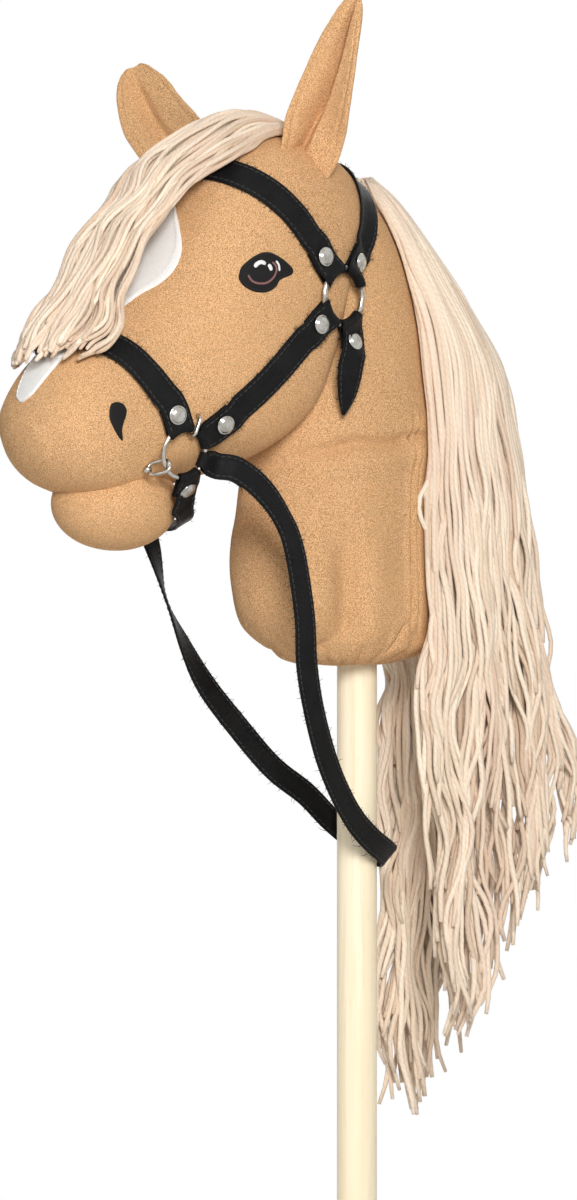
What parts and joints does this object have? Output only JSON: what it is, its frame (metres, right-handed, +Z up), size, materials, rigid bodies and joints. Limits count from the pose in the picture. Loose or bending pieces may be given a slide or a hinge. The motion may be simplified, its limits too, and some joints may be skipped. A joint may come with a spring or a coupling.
{
  "type": "hobby horse",
  "caption": "Stuffed plush horse head and neck on a round wooden stick, with a yarn mane and forelock, a riveted strap bridle with rings and one long rein.",
  "frame": {"origin": "middle of the stick's lower end", "axes": "+Z up along the stick, the horse faces -Y, its left side is +X"},
  "size_m": [0.2252, 0.3982, 0.952],
  "materials": {
    "plush": "short-pile tan plush",
    "yarn": "soft twisted cream yarn",
    "patch": "short-pile white plush",
    "thread": "black embroidery thread",
    "strap": "satin black faux leather",
    "nickel": "polished nickel plate",
    "stick": "pale sanded softwood"
  },
  "bodies": {
    "horse": {"head": "plush", "neck": "plush", "lower_jaw": "plush", "left_ear": "plush", "right_ear": "plush", "browband": "strap", "crownpiece": "strap", "noseband": "strap", "chin_strap": "strap", "left_cheekpiece": "strap", "right_cheekpiece": "strap", "left_throat_strap": "strap", "right_throat_strap": "strap", "left_browband_rivet": "nickel", "left_crownpiece_rivet": "nickel", "left_noseband_rivet": "nickel", "left_chin_rivet": "nickel", "left_cheek_top_rivet": "nickel", "left_cheek_bottom_rivet": "nickel", "left_throat_rivet": "nickel", "right_browband_rivet": "nickel", "right_crownpiece_rivet": "nickel", "right_noseband_rivet": "nickel", "right_chin_rivet": "nickel", "right_cheek_top_rivet": "nickel", "right_cheek_bottom_rivet": "nickel", "right_throat_rivet": "nickel", "left_keeper": "nickel", "right_keeper": "nickel", "bit": "nickel", "left_eye": "thread", "left_nostril": "thread", "right_eye": "thread", "right_nostril": "thread", "blaze_patch": "patch", "stick": "stick", "forelock": "yarn", "mane_left": "yarn", "mane_right": "yarn"},
    "reins": {"reins": "strap"},
    "left_upper_ring": {"left_upper_ring": "nickel"},
    "left_bit_ring": {"left_bit_ring": "nickel"},
    "right_upper_ring": {"right_upper_ring": "nickel"},
    "right_bit_ring": {"right_bit_ring": "nickel"}
  },
  "joints": [
    {"name": "reins_swing", "type": "hinge", "parent": "horse", "child": "reins", "pos_m": [0, -0.1719, 0.6704], "axis": [1, 0, 0], "range_deg": [0, 6]},
    {"name": "left_upper_ring_turn", "type": "hinge", "parent": "horse", "child": "left_upper_ring", "pos_m": [0.0601, -0.0577, 0.7664], "axis": [0.9796, 0.1979, -0.036], "continuous": true},
    {"name": "left_bit_ring_turn", "type": "hinge", "parent": "horse", "child": "left_bit_ring", "pos_m": [0.0503, -0.1719, 0.6704], "axis": [0.9856, -0.004, -0.1689], "continuous": true},
    {"name": "right_upper_ring_turn", "type": "hinge", "parent": "horse", "child": "right_upper_ring", "pos_m": [-0.0601, -0.0577, 0.7664], "axis": [-0.9796, 0.1979, -0.036], "continuous": true},
    {"name": "right_bit_ring_turn", "type": "hinge", "parent": "horse", "child": "right_bit_ring", "pos_m": [-0.0503, -0.1719, 0.6704], "axis": [-0.9856, -0.004, -0.1689], "continuous": true}
  ]
}
